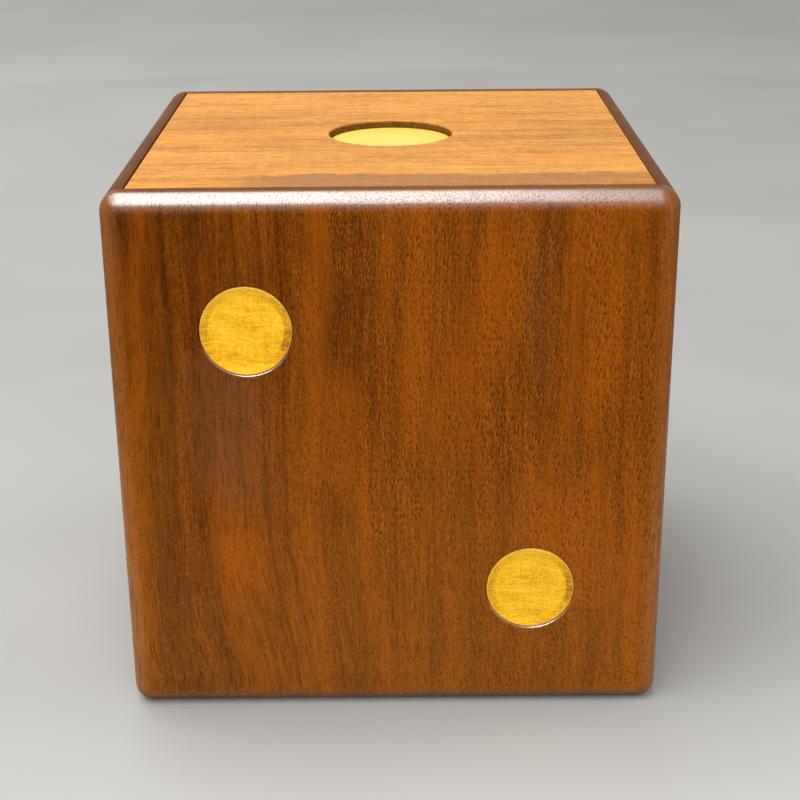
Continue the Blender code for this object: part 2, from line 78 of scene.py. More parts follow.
PIP_THICK = 2.2 * MM
PIP_RIM = 1.4 * MM          # width of the slope around a pip's dish
PIP_SUNK = 0.15 * MM        # how far a pip's top lies under its face
PIP_DISH = 0.34 * MM
PIP_ARRIS = 0.22 * MM
PIP_FOOT = 0.2 * MM         # chamfer at the hidden end of a pip
PIP_STEPS = 96
RIM_STEPS = 8
POCKET_GAP = 0.04 * MM
POCKET_DEPTH = 2.6 * MM
POCKET_LIP = 0.34 * MM
NO_RIM = -5 * MM            # a rim that lies outside the piece

# How the small pips differ from each other, in millimetres and degrees
TOP_SPREAD = (-0.03, 0.04)
FLOOR_SPREAD = (-0.04, 0.06)
RIM_SPREAD = (-0.1, 0.15)
TILT_SPREAD = (-0.35, 0.35)
CARVED = 0.012 * MM         # unevenness of the hand-cut dish

KEY_GAP = 0.2 * MM
KEY_LIP = 0.22 * MM
KEY_ARRIS = 0.18 * MM
KEY_STEPS = 128
DISC_SHARES = (0.8, 0.6, 0.4, 0.2, 0.06)    # rings of a round flat, as shares of its radius

PIVOT_GAP = 0.1 * MM        # around a pivot pin; twice that past its ends
PIVOT_STEPS = 40

SANDED_FLAT = 0.006 * MM
SANDED_EDGE = 0.05 * MM
SANDED_WAVE = 7 * MM

FELT_GRID = (110, 86)
FELT_ROUNDING = 0.45        # share of its thickness
FELT_FOOT = 0.1 * MM
FELT_SUNK = 0.17            # mm: its lumps stay inside the CAD node

MERGE = 2e-6                # metres: vertices closer than this become one
DEGENERATE = 1e-7

# Turns that point +Z of a face's own frame out of each face of the cube, with its +Y up
TO_FRONT = Matrix.Rotation(pi / 2, 4, "X")
TURNS = {
    "one": Matrix(),
    "two": TO_FRONT,
    "three": Matrix.Rotation(pi / 2, 4, "Z") @ TO_FRONT,
    "four": Matrix.Rotation(-pi / 2, 4, "Z") @ TO_FRONT,
    "five": Matrix.Rotation(pi, 4, "Z") @ TO_FRONT,
    "six": Matrix.Rotation(pi, 4, "X"),
}


def face_frame(face):
    """World matrix of a face: origin at its middle on the outer surface, +Z outwards."""
    return Matrix.Translation((0, 0, HALF)) @ TURNS[face] @ Matrix.Translation((0, 0, HALF))


def pips_of(face):
    """(node name, middle in the face's frame, radius) of each small pip on a face."""
    inverse = face_frame(face).inverted()
    for node in sorted(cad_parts):
        if node.startswith(face + "_pip_"):
            low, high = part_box(node)
            middle = inverse @ ((low + high) / 2)
            yield node, middle.xy, max(high - low) / 2


# ---- Material graphs ----

class Graph:
    """Builds one procedural material. Values are numbers or output sockets."""

    def __init__(self, name):
        self.material = bpy.data.materials.new(name)
        self.material.use_nodes = True
        self.tree = self.material.node_tree
        self.shader = self.tree.nodes["Principled BSDF"]

    def put(self, socket, value):
        if isinstance(value, bpy.types.NodeSocket):
            self.tree.links.new(value, socket)
        elif isinstance(value, tuple) and len(value) == 3 and socket.type == "RGBA":
            socket.default_value = (*value, 1.0)
        else:
            socket.default_value = value

    def node(self, kind, sockets=(), **settings):
        made = self.tree.nodes.new(kind)
        for key, value in settings.items():
            setattr(made, key, value)
        for key, value in dict(sockets).items():
            self.put(made.inputs[key], value)
        return made

    def math(self, operation, first, second=0.0, third=0.0):
        sockets = {0: first, 1: second, 2: third}
        return self.node("ShaderNodeMath", sockets, operation=operation).outputs[0]

    def add(self, first, *others):
        for other in others:
            first = self.math("ADD", first, other)
        return first

    def times(self, first, *others):
        for other in others:
            first = self.math("MULTIPLY", first, other)
        return first

    def minus(self, first, second):
        return self.math("SUBTRACT", first, second)

    def scale(self, value, factor, centre=0.0):
        """(value - centre) * factor"""
        return self.math("MULTIPLY_ADD", value, factor, -centre * factor)

    def ramp_up(self, value, low, high, to_low=0.0, to_high=1.0):
        """A smooth step of value from low to high."""
        sockets = {"Value": value, "From Min": low, "From Max": high, "To Min": to_low, "To Max": to_high}
        made = self.node("ShaderNodeMapRange", sockets, interpolation_type="SMOOTHSTEP")
        return made.outputs["Result"]

    def nearness(self, value, middle, half_width, most=1.0):
        """Most where value is middle, falling to 0 half a width away."""
        away = self.math("ABSOLUTE", self.minus(value, middle))
        return self.ramp_up(away, half_width, 0.0, 0.0, most)

    def combine(self, x, y, z):
        return self.node("ShaderNodeCombineXYZ", {"X": x, "Y": y, "Z": z}).outputs[0]

    def stretch(self, vector, factors, seed=0.0):
        offset = (seed, seed * 0.73 + 1.7, seed * 1.31 + 4.1)
        sockets = {0: vector, 1: factors, 2: offset}
        return self.node("ShaderNodeVectorMath", sockets, operation="MULTIPLY_ADD").outputs[0]

    def noise(self, vector, factors, seed=0.0, detail=2.0, rough=0.5):
        where = self.stretch(vector, factors, seed)
        sockets = {"Vector": where, "Scale": 1.0, "Detail": detail, "Roughness": rough}
        return self.node("ShaderNodeTexNoise", sockets).outputs["Fac"]

    def cells(self, vector, factors, seed=0.0):
        """Distance to the nearest of scattered points, and that point's random number."""
        sockets = {"Vector": self.stretch(vector, factors, seed), "Scale": 1.0}
        made = self.node("ShaderNodeTexVoronoi", sockets, voronoi_dimensions="2D")
        chance = self.node("ShaderNodeSeparateColor", {0: made.outputs["Color"]})
        return made.outputs["Distance"], chance.outputs[0], chance.outputs[1]

    def colours(self, value, stops):
        made = self.node("ShaderNodeValToRGB", {0: value})
        ramp = made.color_ramp
        while len(ramp.elements) < len(stops):
            ramp.elements.new(0.5)
        for element, (position, colour) in zip(ramp.elements, stops):
            element.position = position
            element.color = (*colour, 1.0)
        return made.outputs["Color"]

    def mix(self, factor, first, second, blend="MIX"):
        made = self.node("ShaderNodeMix", data_type="RGBA", blend_type=blend)
        self.put(made.inputs[0], factor)
        self.put(made.inputs[6], first)
        self.put(made.inputs[7], second)
        return made.outputs[2]

    def place(self):
        """The point in the piece's own frame, in millimetres, as three values."""
        where = self.node("ShaderNodeTexCoord").outputs["Object"]
        in_mm = self.node("ShaderNodeVectorMath", {0: where, 3: 1 / MM}, operation="SCALE").outputs[0]
        return self.node("ShaderNodeSeparateXYZ", {0: in_mm}).outputs

    def bump(self, height_mm, strength=1.0):
        sockets = {"Height": height_mm, "Distance": MM, "Strength": strength}
        return self.node("ShaderNodeBump", sockets).outputs["Normal"]

    def finish(self, **values):
        for key, value in values.items():
            self.put(self.shader.inputs[key.replace("_", " ")], value)
        return self.material


def edge_nearness(g, x, y, z):
    """0 on the cube's flats and 1 on its rounded edges, from a point in a face's frame."""
    reach = [g.math("ABSOLUTE", value) for value in (x, y, g.add(z, HALF / MM))]
    pair_low = g.math("MINIMUM", reach[0], reach[1])
    pair_high = g.math("MAXIMUM", reach[0], reach[1])
    second = g.math("MAXIMUM", pair_low, g.math("MINIMUM", pair_high, reach[2]))
    return g.ramp_up(second, (HALF - EDGE_RADIUS) / MM - 0.6, HALF / MM - 0.9)


# Woods. The tones run from the darkest to the lightest.
FLOOR_REFLECTION_TINT = (0.50, 0.220, 0.050)    # painted reflection of the pale floor, low on the upright boards
HAZE = (0.160, 0.064, 0.021)    # dull patches in the finish
AMBER = (0.330, 0.0740, 0.0004)     # clear patches in the finish
WALNUT = {
    "tones": [
        (0.0, (0.048, 0.0105, 0.0003)), (0.3, (0.108, 0.0265, 0.0008)), (0.5, (0.180, 0.0450, 0.0014)),
        (0.7, (0.262, 0.0670, 0.0022)), (1.0, (0.390, 0.1120, 0.0080)),
    ],
    "amber": (0.310, 0.0700, 0.0006), "gold": (0.205, 0.0700, 0.0024),
    "pore": (0.036, 0.0065, 0.0002), "highlight_fleck": (0.42, 0.135, 0.014),
    "end": (0.085, 0.0300, 0.0040), "floor_reflection": 0.10, "gloss": 0.035, "low_pores": 0.72,
}
SIDE_WALNUT = {**WALNUT, "edge_gloss": 0.18, "wear_and_highlight": 0.0, "end": (0.036, 0.0115, 0.0008)}
LID_WALNUT = {
    "tones": [
        (0.0, (0.180, 0.0653, 0.0128)), (0.3, (0.307, 0.1258, 0.0214)), (0.5, (0.406, 0.1766, 0.0310)),
        (0.7, (0.496, 0.2275, 0.0439)), (1.0, (0.605, 0.3053, 0.0813)),
    ],
    "amber": (0.501, 0.2064, 0.0300), "gold": (0.444, 0.2064, 0.0396),
    "pore": (0.161, 0.0576, 0.0107), "highlight_fleck": (0.643, 0.3360, 0.0963),
    "contrast": 1.45, "lines": 1.6, "pores": 0.7, "pore_size": (0.34, 3.6), "edge_gloss": 0.25,
    # bore: the wall of the lid's bore, end grain darkened with painted shade
    "end": (0.26, 0.1000, 0.0160), "bore": (0.085, 0.0380, 0.0030), "wear_and_highlight": 0.0,
}
CHERRY = {
    "tones": [
        (0.0, (0.130, 0.0500, 0.0200)), (0.3, (0.240, 0.1050, 0.0450)), (0.5, (0.340, 0.1650, 0.0750)),
        (0.7, (0.430, 0.2250, 0.1100)), (1.0, (0.540, 0.3100, 0.1650)),
    ],
    "amber": (0.42, 0.17, 0.06), "gold": (0.40, 0.20, 0.09), "pore": (0.110, 0.0400, 0.0150),
    "highlight_fleck": (0.50, 0.280, 0.150),
    "contrast": 0.7, "pores": 0.4, "pore_size": (0.35, 1.4), "gloss": 0.1, "rough": 0.52,
    "edge_gloss": 0.0, "wear_and_highlight": 0.0,
    "end": (0.20, 0.085, 0.035),
}
MAPLE = {
    "tones": [
        (0.0, (0.340, 0.2050, 0.1000)), (0.3, (0.500, 0.3350, 0.1800)), (0.5, (0.610, 0.4350, 0.2550)),
        (0.7, (0.690, 0.5150, 0.3250)), (1.0, (0.780, 0.6200, 0.4300)),
    ],
    "amber": (0.66, 0.44, 0.22), "gold": (0.66, 0.48, 0.26), "pore": (0.300, 0.1700, 0.0800),
    "highlight_fleck": (0.78, 0.620, 0.430),
    "contrast": 0.6, "pores": 0.3, "pore_size": (0.35, 1.8), "gloss": 0.1, "rough": 0.50,
    "edge_gloss": 0.0, "wear_and_highlight": 0.0,
    "end": (0.48, 0.320, 0.170),
}

# Stains of the pips and the felt, and the painted highlight on a pip's edge
YELLOW = [
    (0.0, (0.30, 0.115, 0.0008)), (0.15, (0.50, 0.215, 0.0010)), (0.4, (0.71, 0.362, 0.0025)),
    (0.6, (0.81, 0.451, 0.0100)), (0.95, (0.88, 0.572, 0.0750)),
]
PALE_YELLOW = [
    (0.1, (0.54, 0.345, 0.048)), (0.4, (0.60, 0.395, 0.062)), (0.6, (0.63, 0.425, 0.075)),
    (0.95, (0.67, 0.475, 0.105)),
]
# painted highlight on a pip's outer edge
PIP_EDGE_HIGHLIGHT = (0.86, 0.60, 0.22)
PIP_DOT = (0.20, 0.08, 0.008)
FELT_GREEN = [(0.1, (0.006, 0.028, 0.014)), (0.5, (0.014, 0.072, 0.036)), (0.95, (0.045, 0.150, 0.085))]

# Layers of the figure: waves per mm across and along the fibres, seed step, detail and roughness
LAYERS = {
    "sway": (0.020, 0.009, 0, 1.0, 0.5),
    "ripple": (0.12, 0.045, 5, 2.0, 0.5),
    "broad": (0.075, 0.006, 0, 2.0, 0.5),
    "middle": (0.42, 0.014, 1, 3.0, 0.6),
    "fine": (2.4, 0.11, 2, 3.0, 0.65),
    "grit": (3.4, 1.5, 3, 3.0, 0.7),
    "cloud": (0.10, 0.035, 4, 2.0, 0.5),
    "glow": (0.16, 0.02, 6, 2.0, 0.5),
    "gold": (0.11, 0.016, 13, 2.0, 0.5),
    "ragged": (0.45, 0.12, 12, 4.0, 0.7),
    "frayed": (1.3, 0.42, 14, 3.0, 0.7),
    "slant": (0.42, 0.30, 7, 2.0, 0.5),
    "crowd": (0.22, 0.03, 11, 2.0, 0.5),
}
PORE_SIZE = (0.43, 1.35)        # mm across and along the fibres
YEAR_RING = 6.3                 # mm
WOOD_SPECULAR = 0.055


def dashes(g, across, along, seed, size, fade, most):
    """Scattered dashes along the fibres: 1 inside a dash, 0 between dashes."""
    width, length = size
    distance, chance, depth = g.cells(g.combine(across, along, 0.0), (1 / width, 1 / length, 1.0), seed)
    reach = g.times(g.ramp_up(chance, 0.0, 0.8, 0.10, most), fade)
    dash = g.ramp_up(distance, reach, g.scale(reach, 0.35))
    return g.times(dash, g.ramp_up(depth, 0.0, 0.7, 0.35, 1.0))


class Wood(Graph):
    """Oiled wood with its fibres along u or v of the piece's frame."""

    def __init__(self, name, grain, seed, look):
        super().__init__(name)
        self.seed = seed
        self.look = look
        self.u, self.v, self.n = self.place()
        self.across, self.along = (self.v, self.u) if grain == "u" else (self.u, self.v)
        self.flat = self.combine(self.across, self.along, self.n)
        self.edge = edge_nearness(self, self.u, self.v, self.n)

    def layer(self, kind, where):
        waves_across, waves_along, step, detail, rough = LAYERS[kind]
        return self.noise(where, (waves_across, waves_along, waves_across), self.seed + step, detail, rough)

    def lay_fibres(self, bend):
        """The fibres meander a little. Near a bend they also swing aside towards the low end of the board."""
        self.sway = self.layer("sway", self.flat)
        ripple = self.layer("ripple", self.flat)
        self.bent = self.add(self.across, self.scale(self.sway, 3.2, 0.5), self.scale(ripple, 1.3, 0.5))
        if bend:
            middle, half_width, shift = bend
            near = self.nearness(self.across, middle, half_width)
            swing = self.times(self.ramp_up(self.along, -12.0, -HALF / MM), near)
            self.bent = self.add(self.bent, self.scale(swing, -shift))
        self.fibres = self.combine(self.bent, self.along, self.n)
        self.middle = self.layer("middle", self.fibres)
        self.fine = self.layer("fine", self.fibres)
        self.grit = self.layer("grit", self.fibres)
        self.cloud = self.layer("cloud", self.fibres)

    def tone(self, streaks, corner):
        contrast = self.look.get("contrast", 1.0)
        broad = self.layer("broad", self.fibres)
        rings = self.scale(self.bent, 1 / YEAR_RING)
        year = self.math("FRACT", self.add(rings, self.scale(self.sway, 1.5), self.scale(self.n, 0.11)))
        line = self.minus(self.ramp_up(year, 0.60, 0.95), self.ramp_up(year, 0.95, 1.0))
        tone = self.add(
            0.5, self.scale(broad, 0.26 * contrast, 0.5), self.scale(self.middle, 0.34 * contrast, 0.5),
            self.scale(self.fine, 0.62 * contrast * self.look.get("lines", 1.0), 0.5),
            self.scale(self.grit, 0.95 * contrast, 0.5), self.scale(self.cloud, 0.26 * contrast, 0.5),
            self.scale(line, -0.06 * contrast),
        )
        for place, half_width, change in streaks:
            tone = self.add(tone, self.nearness(self.bent, place, half_width, change))
        if corner:
            high_left = self.times(self.ramp_up(self.v, -10.0, 38.0), self.ramp_up(self.u, 6.0, -34.0))
            tone = self.add(tone, self.scale(high_left, corner))
        return tone

    def stain(self, tone, patches, smoke, bore):
        """The colour of the wood between its pores."""
        look = self.look
        colour = self.colours(tone, look["tones"])
        glow = self.ramp_up(self.layer("glow", self.fibres), 0.48, 0.72, 0.0, 0.55)
        colour = self.mix(glow, colour, look["amber"])
        gold = self.ramp_up(self.layer("gold", self.fibres), 0.46, 0.70, 0.0, 0.30)
        colour = self.mix(gold, colour, look["gold"])
        ragged_along = self.add(self.along, self.scale(self.cloud, 26.0, 0.5), self.scale(self.across, 0.35))
        for place_across, place_along, half_width, half_length, tint, strength in patches:
            level = self.math("ABSOLUTE", self.minus(ragged_along, place_along + 0.35 * place_across))
            near = self.times(
                self.nearness(self.bent, place_across, half_width),
                self.ramp_up(level, half_length, half_length * 0.5),
            )
            colour = self.mix(self.scale(near, strength), colour, tint)
        if smoke:
            colour = self.smoked(colour, *smoke)
        # painted reflection: the pale floor's milky reflection, growing towards the bottom of the upright boards
        floor_reflection = self.ramp_up(self.v, 10.0, -44.0, 0.0, look.get("floor_reflection", 0.0))
        colour = self.mix(floor_reflection, colour, FLOOR_REFLECTION_TINT)
        # lighter rounded edges: partly wear, partly painted highlight
        colour = self.mix(self.scale(self.edge, look.get("wear_and_highlight", 0.30)), colour, look["highlight_fleck"])
        end = self.ramp_up(self.math("ABSOLUTE", self.along), (HALF - EDGE_RADIUS) / MM, HALF / MM)
        colour = self.mix(self.scale(end, 0.7), colour, look["end"])
        if bore:
            # painted shade: the bore's wall is darker, as end grain in the shade of the hole
            wall = self.times(self.ramp_up(self.n, -0.10, -0.45), self.ramp_up(self.n, 0.1 - bore, 0.45 - bore))
            colour = self.mix(self.scale(wall, 0.94), colour, look["bore"])
        return colour

    def smoked(self, colour, shore, start, tint):
        """A greyer patch on the outer face, along the board's low edge, with a frayed and darker border."""
        ragged = self.layer("ragged", self.flat)
        frayed = self.layer("frayed", self.flat)
        level = self.add(self.across, self.scale(ragged, 11.0, 0.5), self.scale(frayed, 4.5, 0.5))
        wisp = self.times(
            self.ramp_up(level, shore + 1.2, shore - 0.6),
            self.ramp_up(self.across, shore - 5.5, shore - 1.0, 0.65, 1.0),
            self.ramp_up(self.along, start - 8.0, start + 10.0),
            self.ramp_up(self.along, 44.0, 16.0, 0.45, 1.0),
            self.ramp_up(self.n, -1.0, -0.5),
        )
        border = self.times(wisp, self.minus(1.0, wisp))
        colour = self.mix(self.times(wisp, self.ramp_up(frayed, 0.3, 0.7, 0.85, 1.0)), colour, tint)
        return self.mix(self.scale(border, 1.2), colour, self.look["pore"])

    def pores(self, pore_fade):
        """Open pores and a painted highlight on their far edges: dashes along the fibres, and dots on a board's
        end.
        """
        slant = self.layer("slant", self.flat)
        side_step = self.times(self.math("SIGN", self.across), self.n)
        end_step = self.times(self.math("SIGN", self.along), self.scale(self.n, 4.5))
        across = self.add(
            self.bent, self.scale(slant, 1.3, 0.5), self.scale(side_step, -1.0), self.scale(self.along, -0.22),
        )
        along = self.minus(self.along, end_step)
        fade = self.times(
            self.ramp_up(self.layer("crowd", self.fibres), 0.32, 0.60, 0.6, 1.15),
            self.ramp_up(self.v, -40.0, -5.0, self.look.get("low_pores", 1.0), 1.0),
        )
        if pore_fade:
            fade = self.times(fade, self.ramp_up(self.across, *pore_fade, 0.50, 1.0))
        width, length = self.look.get("pore_size", PORE_SIZE)
        large = dashes(self, across, along, self.seed + 9, (width, length), fade, 0.46)
        small = dashes(self, across, along, self.seed + 19, (width * 0.66, length * 0.80), fade, 0.42)
        hair_fade = self.minus(1.55, fade)
        hair = dashes(self, self.bent, along, self.seed + 29, (width * 0.75, length * 4.5), hair_fade, 0.36)
        pore = self.math("MAXIMUM", large, self.math("MAXIMUM", self.scale(small, 0.75), self.scale(hair, 0.8)))
        # painted highlight: the pores shifted a little, as the lit far edge of each pore
        aside, ahead = self.add(across, width * 0.36), self.add(along, length * 0.12)
        rim = dashes(self, aside, ahead, self.seed + 9, (width, length), fade, 0.44)
        return pore, self.times(rim, self.minus(1.0, pore), self.ramp_up(fade, 0.50, 1.05))

    def relief(self, pore, depth, lines, grit):
        fine = self.scale(self.fine, lines, 0.5)
        return self.add(self.scale(pore, -depth), fine, self.scale(self.grit, grit, 0.5))

    def oiled(self, colour, pore, lit):
        """The finished material: pores over the stain, and a coat that shines where hands have rubbed."""
        look = self.look
        share = look.get("pores", 1.0)
        # painted highlight: lighter flecks on the pores' far edges
        colour = self.mix(self.scale(lit, 0.42 * share), colour, look["highlight_fleck"])
        colour = self.mix(self.scale(pore, 0.66 * share), colour, look["pore"])
        height = self.relief(pore, 0.012 * share, 0.006, 0.008)
        soft_height = self.relief(pore, 0.014 * share, 0.004, 0.007)

        # Rubbed places: the cube's top edges, and the upward side of the pockets' lips
        aside, aloft = self.math("ABSOLUTE", self.u), self.math("ABSOLUTE", self.v)
        top_edge = self.times(
            self.ramp_up(self.edge, 0.05, 0.9), self.ramp_up(self.v, 30.0, 42.0),
            self.ramp_up(aside, 44.3, 41.3),
        )
        normal = self.node("ShaderNodeTexCoord").outputs["Normal"]
        upward = self.node("ShaderNodeSeparateXYZ", {0: normal}).outputs["Y"]
        lips = self.times(
            self.ramp_up(self.n, -0.025, -0.08), self.ramp_up(self.math("MAXIMUM", aside, aloft), 36.0, 34.0),
            self.ramp_up(upward, 0.15, 0.45),
        )
        handled = self.math("MAXIMUM", top_edge, lips)
        gloss = look.get("gloss", 0.07)
        edge_gloss = look.get("edge_gloss", 1.0)
        shine = self.ramp_up(self.edge, 0.0, 0.6, gloss, max(gloss, 0.6 * edge_gloss))
        shine = self.math("MAXIMUM", shine, self.scale(handled, edge_gloss))
        closed = self.minus(1.0, self.add(self.scale(pore, 0.45), self.ramp_up(self.grit, 0.60, 0.80, 0.0, 0.4)))
        rough = self.add(look.get("rough", 0.42), self.scale(pore, 0.2), self.scale(self.middle, 0.1, 0.5))
        coat_ior = self.add(1.5, self.scale(handled, 1.3 * edge_gloss), self.scale(lips, 2.2 * edge_gloss))
        return self.finish(
            Base_Color=colour, Roughness=rough, Specular_IOR_Level=WOOD_SPECULAR, Normal=self.bump(height),
            Coat_Weight=self.times(shine, closed), Coat_IOR=coat_ior, Coat_Normal=self.bump(soft_height, 0.8),
            Coat_Roughness=self.add(0.26, self.scale(self.fine, 0.12, 0.5)),
        )


def wood(name, grain, seed, look, streaks=(), bend=None, pore_fade=None, smoke=None, corner=0.0, bore=0.0,
         patches=()):
    """A board's material. Places and sizes are in millimetres of the piece's frame.

    streaks: (middle across the grain, half width, change of tone)
    bend: (middle across the grain, half width, shift aside at the low end)
    pore_fade: the two places across the grain between which the pores grow to their full size
    smoke: (inner border across the grain, start along it, colour) of a greyer patch
    corner: change of tone at the top left
    bore: thickness of a board whose hole has a darker wall: end grain with painted shade
    patches: (place across, place along, half width, half length, colour, strength)
    """
    g = Wood(name, grain, seed, look)
    g.lay_fibres(bend)
    colour = g.stain(g.tone(streaks, corner), patches, smoke, bore)
    return g.oiled(colour, *g.pores(pore_fade))


def pip_wood(name, tones, radius, rim, seed):
    """Yellow wood: faint curved lines over a soft mottle, tiny pores, and a rim that differs with its slope,
    mostly as painted shade.
    """
    g = Graph(name)
    x, y, z = g.place()
    chance = g.node("ShaderNodeObjectInfo").outputs["Random"]
    flat = g.combine(g.add(x, g.scale(chance, 90.0)), g.add(y, g.scale(chance, 40.0)), z)
    curve = g.noise(flat, (0.16, 0.16, 0.16), seed + 1, 2.0)
    swept = g.combine(x, g.add(y, g.scale(curve, 2.6, 0.5), g.scale(chance, 40.0)), z)
    mottle = g.noise(flat, (1.9, 2.4, 1.9), seed, 3.0, 0.6)
    cloud = g.noise(flat, (0.22, 0.3, 0.22), seed + 2, 1.0)
    lines = g.noise(swept, (0.20, 3.0, 0.20), seed + 4, 2.0, 0.7)
    rays = g.noise(flat, (2.8, 0.25, 2.8), seed + 6, 1.0)

    # The rim is darker at both sides, most of all at the right: painted shade, with a little change of grain on
    # the slope
    away = g.math("SQRT", g.add(g.times(x, x), g.times(y, y)))
    on_rim = g.ramp_up(away, (radius - rim) / MM - 0.15, (radius - rim) / MM + 0.30)
    safe_away = g.add(away, 0.01)
    aside = g.math("DIVIDE", g.math("ABSOLUTE", x), safe_away)
    below = g.math("DIVIDE", g.scale(y, -1.0), safe_away)
    right = g.math("DIVIDE", x, safe_away)
    rim_shade_and_grain = g.add(g.scale(g.times(aside, aside), -0.36), g.scale(right, -0.08), g.scale(below, -0.04), 0.07)

    tone = g.add(
        0.5, g.scale(mottle, 0.80, 0.5), g.scale(cloud, 0.35, 0.5), g.scale(lines, 0.75, 0.5),
        g.scale(rays, 0.22, 0.5), g.times(on_rim, rim_shade_and_grain),
    )
    # painted highlight: a paler ring along the pip's outer edge
    border = g.ramp_up(away, radius / MM - 0.30, radius / MM - 0.12, 0.0, 0.3)
    colour = g.mix(border, g.colours(tone, tones), PIP_EDGE_HIGHLIGHT)
    distance, scatter, _ = g.cells(flat, (0.7, 0.7, 0.7), seed + 8)
    size = g.ramp_up(scatter, 0.82, 1.0, 0.0, 0.10)
    dot = g.ramp_up(distance, size, g.scale(size, 0.3))
    colour = g.mix(g.scale(dot, 0.6), colour, PIP_DOT)
    height = g.add(g.scale(mottle, 0.012, 0.5), g.scale(lines, 0.014, 0.5), g.scale(dot, -0.05))
    return g.finish(
        Base_Color=colour, Roughness=g.add(0.42, g.scale(mottle, 0.16, 0.5)), Normal=g.bump(height),
        Specular_IOR_Level=0.25, Coat_Weight=0.15, Coat_Roughness=0.24,
    )


def metal(name, dark, light, rough, seed, along=(0.25, 6.0, 6.0), metallic=0.75):
    """Brushed metal with a faint uneven tarnish."""
    g = Graph(name)
    flat = g.combine(*g.place())
    brush = g.noise(flat, along, seed, 3.0, 0.65)
    tarnish = g.noise(flat, (0.18, 0.18, 0.18), seed + 3, 4.0, 0.6)
    specks = g.noise(flat, (2.2, 2.2, 2.2), seed + 5, 3.0, 0.7)
    blend = g.add(g.scale(tarnish, 1.0, 0.35), g.scale(brush, 0.5, 0.5), g.scale(specks, 0.25, 0.5))
    colour = g.mix(g.ramp_up(blend, 0.05, 0.95), light, dark)
    roughness = g.add(rough, g.scale(brush, 0.22, 0.5), g.scale(tarnish, 0.2, 0.5))
    height = g.add(g.scale(brush, 0.006, 0.5), g.scale(specks, 0.003, 0.5))
    return g.finish(Base_Color=colour, Metallic=metallic, Roughness=roughness, Normal=g.bump(height))


def felt_cloth(name):
    """Pressed wool: a matted tangle of fibres, with a soft sheen."""
    g = Graph(name)
    flat = g.combine(*g.place())
    where = g.stretch(flat, (0.9, 0.9, 0.9))
    swirl = g.node("ShaderNodeTexNoise", {"Vector": where, "Scale": 1.0, "Detail": 2.0})
    turned = g.mix(0.35, flat, swirl.outputs["Color"], "ADD")
    tangle = g.noise(turned, (7.0, 7.0, 7.0), 3.0, 4.0, 0.7)
    strands = g.noise(turned, (1.2, 9.0, 9.0), 8.0, 3.0, 0.7)
    cloud = g.noise(flat, (0.12, 0.12, 0.12), 1.0, 2.0)
    tone = g.add(0.5, g.scale(tangle, 0.9, 0.5), g.scale(strands, 0.7, 0.5), g.scale(cloud, 0.4, 0.5))
    height = g.add(g.scale(tangle, 0.14, 0.5), g.scale(strands, 0.08, 0.5))
    return g.finish(
        Base_Color=g.colours(tone, FELT_GREEN), Roughness=0.95, Normal=g.bump(height), Sheen_Weight=0.6,
        Sheen_Roughness=0.5, Specular_IOR_Level=0.2,
    )


# ---- Mesh building, in a face's frame: u, v on the surface and depth going in ----

def spread(low, high, count):
    return [low + (high - low) * step / count for step in range(count + 1)]


def grid_lines(flat, cell):
    """Grid lines across a flat: a cell at each pip place, and a narrow strip along each border."""
    stops = [-flat, -flat + SUPPORT, -cell, cell, flat - SUPPORT, flat]
    counts = [1, CELL_STEPS, CELL_STEPS, CELL_STEPS, 1]
    return [spread(low, high, count) for low, high, count in zip(stops, stops[1:], counts)]


def join_loops(bm, loops, closed=True):
    """Faces between successive loops of points. Returns the loops' vertices."""
    rows = [[bm.verts.new(point) for point in loop] for loop in loops]
    for upper, lower in zip(rows, rows[1:]):
        for index in range(len(upper) if closed else len(upper) - 1):
            after = (index + 1) % len(upper)
            bm.faces.new((upper[index], upper[after], lower[after], lower[index]))
    return rows


def circle(middle, radius, depth, steps, start=0.0):
    """Points around a circle, counter-clockwise from the start angle."""
    angles = [start + 2 * pi * step / steps for step in range(steps)]
    return [(middle[0] + radius * cos(a), middle[1] + radius * sin(a), -depth) for a in angles]


def fill_around(bm, us, vs, depth, hole):
    """A cell with a round hole in it. The hole's lip is a quarter round that runs into its wall."""
    middle, radius, lip, end_depth, blind = hole
    inward = 1 if end_depth > depth else -1
    outline = [(u, vs[0]) for u in us[:-1]] + [(us[-1], v) for v in vs[:-1]]
    outline += [(u, vs[-1]) for u in reversed(us[1:])] + [(us[0], v) for v in reversed(vs[1:])]
    outline = [Vector((u, v, -depth)) for u, v in outline]
    steps = len(outline)
    start = -3 * pi / 4
    rim = [Vector(point) for point in circle(middle, radius + lip + SUPPORT / 2, depth, steps, start)]
    loops = [outline]
    loops += [[far.lerp(near, share) for far, near in zip(outline, rim)] for share in (0.3, 0.55, 0.78)]
    loops.append(rim)
    for step in range(LIP_STEPS + 1):
        turn = pi / 2 * step / LIP_STEPS
        wall = radius + lip * (1 - sin(turn))
        loops.append(circle(middle, wall, depth + inward * lip * (1 - cos(turn)), steps, start))
    loops.append(circle(middle, radius, end_depth, steps, start))
    rows = join_loops(bm, loops)
    if blind:
        bm.faces.new(rows[-1])


def fill_sheet(bm, cells_u, cells_v, depth, holes):
    for us in cells_u:
        for vs in cells_v:
            inside = [h for h in holes if us[0] < h[0][0] < us[-1] and vs[0] < h[0][1] < vs[-1]]
            if inside:
                fill_around(bm, us, vs, depth, inside[0])
            else:
                join_loops(bm, [[(u, v, -depth) for u in us] for v in vs], closed=False)


